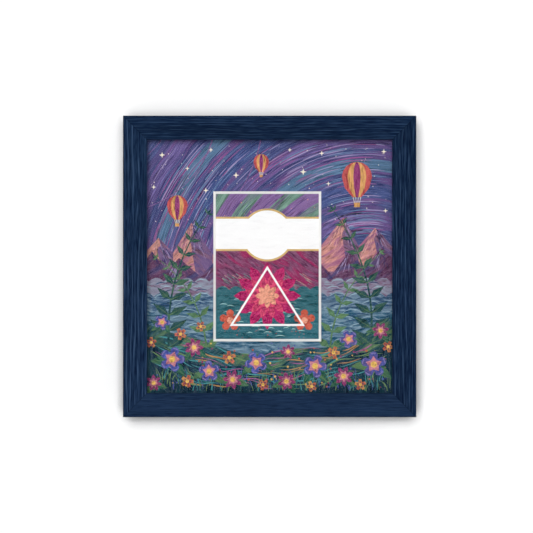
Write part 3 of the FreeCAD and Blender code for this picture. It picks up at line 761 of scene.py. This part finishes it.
class CARDFRAME_OT_sky_streaks(bpy.types.Operator):
    """Adds fine streaks along the arcs of the sky, and the smallest stars"""
    bl_idname = "cardframe.sky_streaks"
    bl_label = "Sky streaks"

    def execute(self, context):
        ink = context.scene.cardframe_board_inks
        back_y = board_level("arcs")
        chance = random.Random(11)
        tints = {
            "pale": ink.streak_pale, "rose": ink.streak_rose, "blue": ink.streak_blue, "deep": ink.sky_deep,
        }
        for tint, body in tints.items():
            bm = bmesh.new()
            drawn = 0
            while drawn < 70:
                radius = chance.uniform(38, 170) * MM
                sweep = math.degrees(chance.uniform(7, 34) * MM / radius)
                start = chance.uniform(20, 178)
                width = chance.uniform(0.22, 0.6) * MM
                marks = [polar(*ARC_CENTRE, radius, start + sweep * share / 4) for share in range(5)]
                if all(on_print(*mark) and mark[1] > MIDDLE_Z for mark in marks):
                    arc_line(bm, ARC_CENTRE, radius, start, sweep, width, back_y, FINE)
                    drawn += 1
            finish_piece("sky_streaks_" + tint, bm, painted("streak_ink_" + tint, body, "arcs", strength=0.5))
        bm = bmesh.new()
        drawn = 0
        while drawn < 90:
            x, z = on_grid(chance.uniform(-71, 71), chance.uniform(22, 74))
            if on_print(x, z):
                dot(bm, x, z, chance.uniform(0.14, 0.34) * MM, back_y - FINE / 2, FINE, 6)
                drawn += 1
        finish_piece("star_dust", bm, painted("star_dust_ink", ink.star, strength=0.2))
        return {"FINISHED"}


class CARDFRAME_OT_peak_strokes(bpy.types.Operator):
    """Adds the light and dark strokes that run down the peaks"""
    bl_idname = "cardframe.peak_strokes"
    bl_label = "Peak strokes"

    def execute(self, context):
        ink = context.scene.cardframe_board_inks
        chance = random.Random(23)
        lights, lilacs, shades, warm_shades = bmesh.new(), bmesh.new(), bmesh.new(), bmesh.new()
        far_sides = ((-1, lights, 14), (-1, warm_shades, 12), (1, shades, 12), (1, lilacs, 8))
        near_sides = ((-1, lilacs, 9), (1, shades, 9))
        ridges = ((FAR_RIDGE, "lit_slopes", 22, far_sides), (NEAR_RIDGE, "near_peaks", 15, near_sides))
        for ridge, level, fall, sides in ridges:
            for index in range(1, len(ridge) - 1, 2):
                top_x, top_z = ridge[index]
                for side, bm, strokes in sides:
                    foot_x, foot_z = ridge[index + side]
                    slope = (foot_x - top_x) / (top_z - foot_z)
                    for _ in range(strokes):
                        down = chance.uniform(0.5, fall * 0.7)
                        lean = slope * chance.uniform(0.1, 0.85)
                        run = chance.uniform(3, 7)
                        start = on_grid(top_x + lean * down, top_z - down)
                        end = on_grid(top_x + lean * (down + run), top_z - down - run)
                        if on_print(*start) and on_print(*end):
                            width = chance.uniform(0.25, 0.55) * MM
                            brush_line(bm, start, end, board_level(level), FINE, width, 0.1 * MM)
        pieces = (
            ("peak_lights", lights, "peak_light_ink", ink.ridge_light, "rising"),
            ("peak_lilacs", lilacs, "peak_lilac_ink", ink.streak_pale, "rising"),
            ("peak_shades", shades, "peak_shade_ink", ink.sky_deep, "falling"),
            ("peak_warm_shades", warm_shades, "peak_warm_ink", ink.far_peak, "falling"),
        )
        for name, bm, paint, body, stroke in pieces:
            finish_piece(name, bm, painted(paint, body, stroke, strength=0.5))
        return {"FINISHED"}


class CARDFRAME_OT_wave_foam(bpy.types.Operator):
    """Adds the pale and dark lines that follow the rows of waves"""
    bl_idname = "cardframe.wave_foam"
    bl_label = "Wave foam"

    def execute(self, context):
        ink = context.scene.cardframe_board_inks
        chance = random.Random(31)
        foam, troughs = bmesh.new(), bmesh.new()
        crest_shape = ((0.06, 0.16), (0.2, 0.62), (0.45, 1), (0.75, 0.82), (0.94, 0.4))
        # for each row of waves: its row on the grid, pitch and rise of a crest in cells, its ink, its lines
        wave_rows = (
            (-9, 9, 2.3, "far_water", 4),
            (-18, 11.5, 2.9, "middle_water", 4),
            (-28, 14, 3.5, "near_water", 9),
        )
        for row, pitch, rise, level, lines in wave_rows:
            for crest in range(-9, 9):
                for line in range(lines):
                    drop = (0.7 + 1.9 * line + chance.uniform(-0.3, 0.3)) * MM
                    slip = 0.35 * (line % 3) * pitch * CELL
                    points = []
                    for share, height in crest_shape:
                        x = (crest + share) * pitch * CELL + slip
                        swell = rise * CELL * height * (1 - 0.07 * line)
                        points.append((x, MIDDLE_Z + row * ROW + swell - drop))
                    widths = [width * MM * chance.uniform(0.7, 1.3) for width in (0.1, 0.4, 0.55, 0.35, 0.1)]
                    if all(on_print(*point) for point in points):
                        target = foam if line % 2 == 0 else troughs
                        wave_line(target, points, widths, board_level(level), FINE)
        finish_piece("wave_foam", foam, painted("foam_ink", ink.foam, "level", strength=0.5))
        finish_piece("wave_troughs", troughs, painted("trough_ink", ink.trough, "level", strength=0.5))
        return {"FINISHED"}


class CARDFRAME_OT_meadow_furrows(bpy.types.Operator):
    """Adds the winding lines that follow the two meadows"""
    bl_idname = "cardframe.meadow_furrows"
    bl_label = "Meadow furrows"

    def execute(self, context):
        ink = context.scene.cardframe_board_inks
        chance = random.Random(43)
        tints = {
            "green": ink.grass, "rose": ink.furrow_rose, "teal": ink.furrow_teal, "gold": ink.furrow_gold,
        }
        furrows = {tint: bmesh.new() for tint in tints}
        for edge, swell, level in ((-51, 1.6, "far_meadow"), (-62, -2.2, "near_meadow")):
            for line in range(9):
                x = -74 + chance.uniform(0, 8)
                while x < 70:
                    run = chance.uniform(10, 26)
                    drop = 0.8 + 1.55 * line + chance.uniform(-0.3, 0.3)
                    points = []
                    for step in range(9):
                        here = x + run * step / 8
                        lift = 0.0035 * here * here + swell * math.sin(here / 9)
                        lift += 0.7 * math.sin(here / 3.1 + line)
                        points.append(on_grid(here, edge + lift - drop))
                    thick = chance.uniform(0.3, 0.75) * MM
                    widths = [thick * (0.2 + math.sin(math.pi * step / 8)) for step in range(9)]
                    tint = chance.choice(("green", "green", "teal", "teal", "rose", "gold"))
                    if all(on_print(*point) for point in points):
                        wave_line(furrows[tint], points, widths, board_level(level), FINE)
                    x += run + chance.uniform(0, 5)
        for tint, bm in furrows.items():
            paint = painted("furrow_ink_" + tint, tints[tint], "level", strength=0.6)
            finish_piece("furrows_" + tint, bm, paint)
        return {"FINISHED"}


class CARDFRAME_OT_grass_blades(bpy.types.Operator):
    """Adds the blades of grass and the scattered buds along the foot of the picture"""
    bl_idname = "cardframe.grass_blades"
    bl_label = "Grass blades"

    def execute(self, context):
        ink = context.scene.cardframe_board_inks
        chance = random.Random(71)
        back_y = board_level("near_meadow")
        blade_tints = {"green": ink.grass, "teal": ink.furrow_teal, "blue": ink.round_petal}
        blades = {tint: bmesh.new() for tint in blade_tints}
        shares = (0, 0.25, 0.5, 0.75, 1)
        for _ in range(330):
            column, row = chance.uniform(-74, 74), chance.uniform(-76, -66)
            lean, height = chance.uniform(-3.4, 3.4), chance.uniform(3.5, 8.5)
            points = [on_grid(column + lean * share * share, row + height * share) for share in shares]
            thick = chance.uniform(0.28, 0.6) * MM
            widths = [thick * share for share in (0.8, 1.0, 0.85, 0.55, 0.15)]
            tint = chance.choice(("green", "green", "teal", "teal", "blue"))
            if all(on_print(*point, 0.0) for point in points):
                wave_line(blades[tint], points, widths, back_y, 1.3 * FINE)
        for tint, bm in blades.items():
            paint = painted("blade_ink_" + tint, blade_tints[tint], "upright", strength=0.7)
            finish_piece("blades_" + tint, bm, paint)
        bud_tints = {
            "rose": ink.pointed_petal, "blue": ink.round_petal, "orange": ink.small_petal, "gold": ink.heart,
        }
        for tint, body in bud_tints.items():
            bm = bmesh.new()
            drawn = 0
            while drawn < 26:
                x, z = on_grid(chance.uniform(-73, 73), chance.uniform(-75, -44))
                if on_print(x, z):
                    dot(bm, x, z, chance.uniform(0.3, 0.72) * MM, back_y, 1.5 * FINE)
                    drawn += 1
            finish_piece("buds_" + tint, bm, painted("bud_ink_" + tint, body, strength=0.5))
        return {"FINISHED"}


class CARDFRAME_OT_leaf_ribs(bpy.types.Operator):
    """Adds the middle rib of every leaf and of every leaflet of the ferns"""
    bl_idname = "cardframe.leaf_ribs"
    bl_label = "Leaf ribs"

    def execute(self, context):
        ink = context.scene.cardframe_board_inks
        bm = bmesh.new()
        for index, (column, row, radius) in enumerate(ROUND_FLOWERS + POINTED_FLOWERS):
            base = on_grid(column, row)
            for heading in (185 + 17 * (index % 4), 305 + 17 * (index % 3)):
                tip = polar(*base, radius * CELL * 1.6, heading)
                if on_print(*tip, 0.0):
                    brush_line(bm, base, tip, board_level("leaves"), FINE, 0.3 * MM, 0.1 * MM)
        ferns = ((SHORT_FERNS, 7, 11, "short_ferns"), (TALL_FERNS, 9, 14.5, "tall_ferns"))
        for stems, pairs, size, level in ferns:
            for base, bend, tip in stems:
                for pair in range(pairs + 1):
                    share = pair / pairs
                    here, ahead = on_stem(base, bend, tip, share), on_stem(base, bend, tip, share + 0.01)
                    heading = math.degrees(math.atan2(ahead[1] - here[1], ahead[0] - here[0]))
                    reach = size * CELL * (1 - 0.72 * share) * 0.85
                    for turn in (-58, 58):
                        end = polar(*here, reach, heading + turn)
                        if on_print(*here, 0.0) and on_print(*end, 0.0):
                            brush_line(bm, here, end, board_level(level), FINE, 0.28 * MM, 0.08 * MM)
        finish_piece("leaf_ribs", bm, painted("leaf_rib_ink", ink.grass, "rising", strength=0.5))
        return {"FINISHED"}


class CARDFRAME_OT_petal_veins(bpy.types.Operator):
    """Adds the dark veins and pale rims of the petals on the board"""
    bl_idname = "cardframe.petal_veins"
    bl_label = "Petal veins"

    def execute(self, context):
        ink = context.scene.cardframe_board_inks
        veins, rims = bmesh.new(), bmesh.new()
        back_y = board_level("petals")
        kinds = ((ROUND_FLOWERS, 5, 0.9), (POINTED_FLOWERS, 7, 0.86), (SMALL_FLOWERS, 5, 0.85))
        for kind, petals, outer in kinds:
            for index, (column, row, radius) in enumerate(kind):
                x, z = on_grid(column, row)
                size = radius * CELL
                for petal in range(petals):
                    tip = 23 * index + petal * 360 / petals
                    for side in (-11, 0, 11):
                        start = polar(x, z, size * 0.3, tip + side)
                        end = polar(x, z, size * (outer - abs(side) * 0.009), tip + side)
                        brush_line(veins, start, end, back_y, FINE, 0.3 * MM, 0.1 * MM)
                    if kind is ROUND_FLOWERS:
                        arc_line(rims, (x, z), size * 0.86, tip - 14, 28, 0.35 * MM, back_y, FINE)
        finish_piece("petal_veins", veins, painted("petal_vein_ink", ink.sky_deep, strength=0.4))
        finish_piece("petal_rims", rims, painted("petal_rim_ink", ink.streak_pale, strength=0.4))
        return {"FINISHED"}


class CARDFRAME_OT_card_strokes(bpy.types.Operator):
    """Adds the veins of the card's rosette and the strokes in its sky, peaks and water"""
    bl_idname = "cardframe.card_strokes"
    bl_label = "Card strokes"

    def execute(self, context):
        ink = context.scene.cardframe_card_inks
        chance = random.Random(59)
        rosette_low, rosette_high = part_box("card_rosette_print")
        middle = ((rosette_low.x + rosette_high.x) / 2, (rosette_low.z + rosette_high.z) / 2)
        size = (rosette_high.x - rosette_low.x) / 2
        reach = 29       # mm from the card's middle to the sides of what shows of it
        veins = bmesh.new()
        rings = ((12, 0, 0.92, 0.66, "rosette"), (12, 15, 0.62, 0.34, "inner"))
        for petals, turn, outer, inner, level in rings:
            for petal in range(petals):
                tip = turn + petal * 360 / petals
                for side in (-5, 0, 5):
                    start = polar(*middle, size * inner, tip + side)
                    end = polar(*middle, size * (outer - abs(side) * 0.012), tip + side)
                    brush_line(veins, start, end, card_level(level), FINE, 0.35 * MM, 0.1 * MM)
        finish_piece("rosette_veins", veins, painted("rosette_vein_ink", ink.vein, strength=0.4))
        streaks, glints = bmesh.new(), bmesh.new()
        drawn = 0
        while drawn < 46:
            radius = chance.uniform(45, 130) * MM
            start = chance.uniform(60, 178)
            sweep = math.degrees(chance.uniform(5, 16) * MM / radius)
            marks = [polar(*ARC_CENTRE, radius, start + sweep * share / 2) for share in range(3)]
            if all(
                abs(x - WINDOW_X) < (reach + 0.5) * MM and 10 * MM < z - MIDDLE_Z < 42 * MM for x, z in marks
            ):
                width = chance.uniform(0.25, 0.5) * MM
                arc_line(streaks, ARC_CENTRE, radius, start, sweep, width, card_level("arcs"), FINE)
                drawn += 1
        for _ in range(60):
            x = WINDOW_X + chance.uniform(-reach, reach - 6) * MM
            z = MIDDLE_Z - chance.uniform(17, 42) * MM
            run = chance.uniform(2, 6) * MM
            level = "water" if z > MIDDLE_Z - 33 * MM else "near_water"
            points = [(x, z), (x + run * 0.35, z + 0.5 * MM), (x + run * 0.7, z + 0.4 * MM), (x + run, z)]
            wave_line(glints, points, [w * MM for w in (0.1, 0.4, 0.35, 0.1)], card_level(level), FINE)
        dots = {
            "card_stars": (bmesh.new(), ink.hearts, "arcs", 12, 42),
            "card_buds": (bmesh.new(), ink.blossoms, "near_water", -42.5, -35),
        }
        for name, (bm, body, level, low, high) in dots.items():
            for _ in range(24):
                x = WINDOW_X + chance.uniform(-reach, reach) * MM
                z = MIDDLE_Z + chance.uniform(low, high) * MM
                dot(bm, x, z, chance.uniform(0.16, 0.4) * MM, card_level(level), 1.4 * FINE)
            finish_piece(name, bm, painted(name + "_ink", body, strength=0.4))
        falls = {
            "card_peak_lights": (bmesh.new(), ink.peak_light),
            "card_peak_cools": (bmesh.new(), ink.peak_cool),
        }
        for name, (bm, body) in falls.items():
            for _ in range(44):
                x = WINDOW_X + chance.uniform(-reach, reach - 3) * MM
                z = MIDDLE_Z - chance.uniform(4, 13) * MM
                run = chance.uniform(1.5, 4.5) * MM
                width = chance.uniform(0.25, 0.5) * MM
                end = (x + run, z - run * 0.66)
                brush_line(bm, (x, z), end, card_level("peaks"), FINE, width, 0.1 * MM)
            finish_piece(name, bm, painted(name + "_ink", body, "falling", strength=0.5))
        finish_piece("card_streaks", streaks, painted("card_streak_ink", ink.streak, "arcs", strength=0.5))
        finish_piece("card_glints", glints, painted("card_glint_ink", ink.glint, "level", strength=0.5))
        return {"FINISHED"}


class CARDFRAME_OT_balloon_ropes(bpy.types.Operator):
    """Adds the ropes between each balloon and its basket"""
    bl_idname = "cardframe.balloon_ropes"
    bl_label = "Balloon ropes"

    def execute(self, context):
        ink = context.scene.cardframe_board_inks
        bm = bmesh.new()
        back_y = board_level("balloons")
        for column, row, radius in BALLOONS:
            x, z = on_grid(column, row)
            half = radius * CELL
            for side in (-1, -0.33, 0.33, 1):
                start = (x + side * 0.26 * half, z - 1.33 * half)
                end = (x + side * 0.17 * half, z - 1.7 * half)
                brush_line(bm, start, end, back_y, FINE, 0.22 * MM, 0.22 * MM)
        finish_piece("balloon_ropes", bm, painted("rope_ink", ink.star, strength=0.3))
        return {"FINISHED"}


# Studio

def studio_card(name, corners, material):
    """A flat card through four corners."""
    bm = bmesh.new()
    bm.faces.new([bm.verts.new(corner) for corner in corners])
    return add_object(name, bm, material)


def seen_directly(tree):
    """1 for rays from the camera and for those that mirrors and clear sheets pass on, else 0."""
    path = put(tree, "ShaderNodeLightPath")
    both = calc(tree, "MAXIMUM", path.outputs["Is Camera Ray"], path.outputs["Is Glossy Ray"])
    return calc(tree, "MAXIMUM", both, path.outputs["Is Transmission Ray"])


def backdrop_paint(name, body, lift, near, far, one_sided):
    """Matt paint with painted shade round and behind the frame, white far from it, and clear from behind if
    one-sided.
    """
    material, tree, place = bare_material(name)
    x, _, z = put(tree, "ShaderNodeSeparateXYZ", {0: place}).outputs
    # painted shadow: 0 straight behind the frame and 1 outside its outline, so that the gap at its back stays
    # dark
    beside = calc(tree, "SUBTRACT", calc(tree, "ABSOLUTE", x), HALF_WIDTH)
    above = calc(tree, "SUBTRACT", calc(tree, "ABSOLUTE", calc(tree, "SUBTRACT", z, MIDDLE_Z)), MIDDLE_Z)
    gap_shadow_mask = put(tree, "ShaderNodeMapRange", {
        "Value": calc(tree, "MAXIMUM", beside, above), "From Min": -3 * MM, "From Max": 0.0,
    }).outputs[0]
    # painted contact shade from ambient occlusion, deepest at the frame's foot, because the large lamp stands
    # high
    painted_contact_shade = put(tree, "ShaderNodeAmbientOcclusion", {"Distance": 8 * MM}, samples=16).outputs["AO"]
    depth = put(tree, "ShaderNodeMapRange", {
        "Value": z, "From Min": 0.0, "From Max": FRAME_HIGH.z, "To Min": 2.1, "To Max": 1.1,
    }).outputs[0]
    # share of the paint's colour and glow that the painted shade and painted shadow leave
    light = calc(tree, "MULTIPLY", calc(tree, "POWER", painted_contact_shade, depth), gap_shadow_mask)
    shaded = put(tree, "ShaderNodeVectorMath", {0: body, "Scale": light}, operation="SCALE")
    matt = put(tree, "ShaderNodeBsdfDiffuse", {"Color": shaded.outputs[0]})
    seen = seen_directly(tree)
    glow = put(tree, "ShaderNodeEmission", {
        "Strength": calc(tree, "MULTIPLY", calc(tree, "MULTIPLY", seen, lift), light),
    })
    shown = put(tree, "ShaderNodeAddShader", {0: matt.outputs[0], 1: glow.outputs[0]})
    middle = (0.0, 0.0, MIDDLE_Z)
    away = put(tree, "ShaderNodeVectorMath", {0: place, 1: middle}, operation="DISTANCE").outputs["Value"]
    fade = put(tree, "ShaderNodeMapRange", {
        "Value": away, "From Min": near, "From Max": far,
    }, interpolation_type="SMOOTHSTEP").outputs[0]
    white = put(tree, "ShaderNodeEmission")
    shown = put(tree, "ShaderNodeMixShader", {
        0: calc(tree, "MULTIPLY", seen, fade), 1: shown.outputs[0], 2: white.outputs[0],
    })
    if one_sided:
        behind = put(tree, "ShaderNodeNewGeometry").outputs["Backfacing"]
        clear = put(tree, "ShaderNodeBsdfTransparent")
        shown = put(tree, "ShaderNodeMixShader", {0: behind, 1: shown.outputs[0], 2: clear.outputs[0]})
    put(tree, "ShaderNodeOutputMaterial", {"Surface": shown.outputs[0]})
    return material


def lamp(name, place, target, size, power):
    """A square soft box that faces a target."""
    data = bpy.data.lights.new(name, "AREA")
    data.shape = "SQUARE"
    data.size = size
    data.energy = power
    obj = bpy.data.objects.new(name, data)
    obj.location = place
    obj.rotation_euler = (Vector(target) - Vector(place)).to_track_quat("-Z", "Y").to_euler()
    bpy.context.scene.collection.objects.link(obj)
    return obj


class CARDFRAME_OT_studio(bpy.types.Operator):
    """Sets up the wall, the floor, the lamps, the world and the camera"""
    bl_idname = "cardframe.studio"
    bl_label = "Studio"

    def execute(self, context):
        studio = context.scene.cardframe_studio
        centre = Vector((0, 0, MIDDLE_Z))
        wall_y = FRAME_HIGH.y + 0.2 * MM
        floor_z = -0.25
        reach = 3
        wall = studio_card(
            "wall", [
                (-reach, wall_y, floor_z), (reach, wall_y, floor_z),
                (reach, wall_y, reach), (-reach, wall_y, reach),
            ],
            backdrop_paint("wall_paint", studio.backdrop, lift=0.13, near=0.11, far=0.3, one_sided=True),
        )
        floor = studio_card(
            "floor", [
                (-reach, -reach, floor_z), (reach, -reach, floor_z),
                (reach, reach, floor_z), (-reach, reach, floor_z),
            ],
            backdrop_paint("floor_paint", studio.backdrop, lift=0.13, near=0.45, far=1.0, one_sided=False),
        )
        # the wall takes light and shadow and gives none back to the frame
        wall.visible_diffuse = False
        wall.visible_glossy = False
        wall.visible_transmission = False
        wall.visible_shadow = False

        lamps = (
            lamp("key", centre + Vector((-0.17, -1.5, 0.34)), centre, 0.78, studio.key_power),
            lamp("side_fill", centre + Vector((1.3, -0.5, 0.3)), centre, 0.8, studio.side_power),
            lamp("back_light", centre + Vector((-0.7, 1.4, 0.9)), centre, 0.9, studio.back_power),
        )
        for soft_box in lamps:
            soft_box.visible_glossy = False

        world = bpy.data.worlds.new("studio_world")
        world.use_nodes = True
        tree = world.node_tree
        background = tree.nodes["Background"]
        background.inputs["Color"].default_value = (1, 1, 1, 1)
        level = calc(tree, "MAXIMUM", seen_directly(tree), studio.ambient)
        tree.links.new(level, background.inputs["Strength"])
        context.scene.world = world

        data = bpy.data.cameras.new("camera")
        data.lens = studio.lens
        data.sensor_width = 36
        camera = bpy.data.objects.new("camera", data)
        camera.location = CAMERA_PLACE
        camera.rotation_euler = (math.radians(90), 0, 0)
        context.scene.collection.objects.link(camera)
        context.scene.camera = camera
        context.scene.view_settings.view_transform = "Standard"
        return {"FINISHED"}


PIECES = (
    CARDFRAME_OT_moulding,
    CARDFRAME_OT_sheets,
    CARDFRAME_OT_fixings,
    CARDFRAME_OT_board_print,
    CARDFRAME_OT_card_print,
    CARDFRAME_OT_sky_streaks,
    CARDFRAME_OT_peak_strokes,
    CARDFRAME_OT_wave_foam,
    CARDFRAME_OT_meadow_furrows,
    CARDFRAME_OT_grass_blades,
    CARDFRAME_OT_leaf_ribs,
    CARDFRAME_OT_petal_veins,
    CARDFRAME_OT_balloon_ropes,
    CARDFRAME_OT_card_strokes,
    CARDFRAME_OT_studio,
)


class CARDFRAME_PT_panel(bpy.types.Panel):
    """Lists the frame's pieces and their settings"""
    bl_idname = "CARDFRAME_PT_panel"
    bl_label = "Card Frame"
    bl_space_type = "VIEW_3D"
    bl_region_type = "UI"
    bl_category = "Card Frame"

    def draw(self, context):
        for piece in PIECES:
            self.layout.operator(piece.bl_idname)
        for name in GROUPS:
            box = self.layout.box()
            settings = getattr(context.scene, name)
            for prop in settings.__annotations__:
                box.prop(settings, prop)


def register():
    for group in GROUPS.values():
        bpy.utils.register_class(group)
    for piece in PIECES:
        bpy.utils.register_class(piece)
    bpy.utils.register_class(CARDFRAME_PT_panel)
    for name, group in GROUPS.items():
        setattr(bpy.types.Scene, name, PointerProperty(type=group))


def unregister():
    for name in GROUPS:
        delattr(bpy.types.Scene, name)
    bpy.utils.unregister_class(CARDFRAME_PT_panel)
    for piece in reversed(PIECES):
        bpy.utils.unregister_class(piece)
    for group in reversed(GROUPS.values()):
        bpy.utils.unregister_class(group)


def main():
    """Runs every operator in order."""
    register()
    bpy.ops.cardframe.moulding()
    bpy.ops.cardframe.sheets()
    bpy.ops.cardframe.fixings()
    bpy.ops.cardframe.board_print()
    bpy.ops.cardframe.card_print()
    bpy.ops.cardframe.sky_streaks()
    bpy.ops.cardframe.peak_strokes()
    bpy.ops.cardframe.wave_foam()
    bpy.ops.cardframe.meadow_furrows()
    bpy.ops.cardframe.grass_blades()
    bpy.ops.cardframe.leaf_ribs()
    bpy.ops.cardframe.petal_veins()
    bpy.ops.cardframe.balloon_ropes()
    bpy.ops.cardframe.card_strokes()
    bpy.ops.cardframe.studio()


if __name__ == "__main__":
    main()
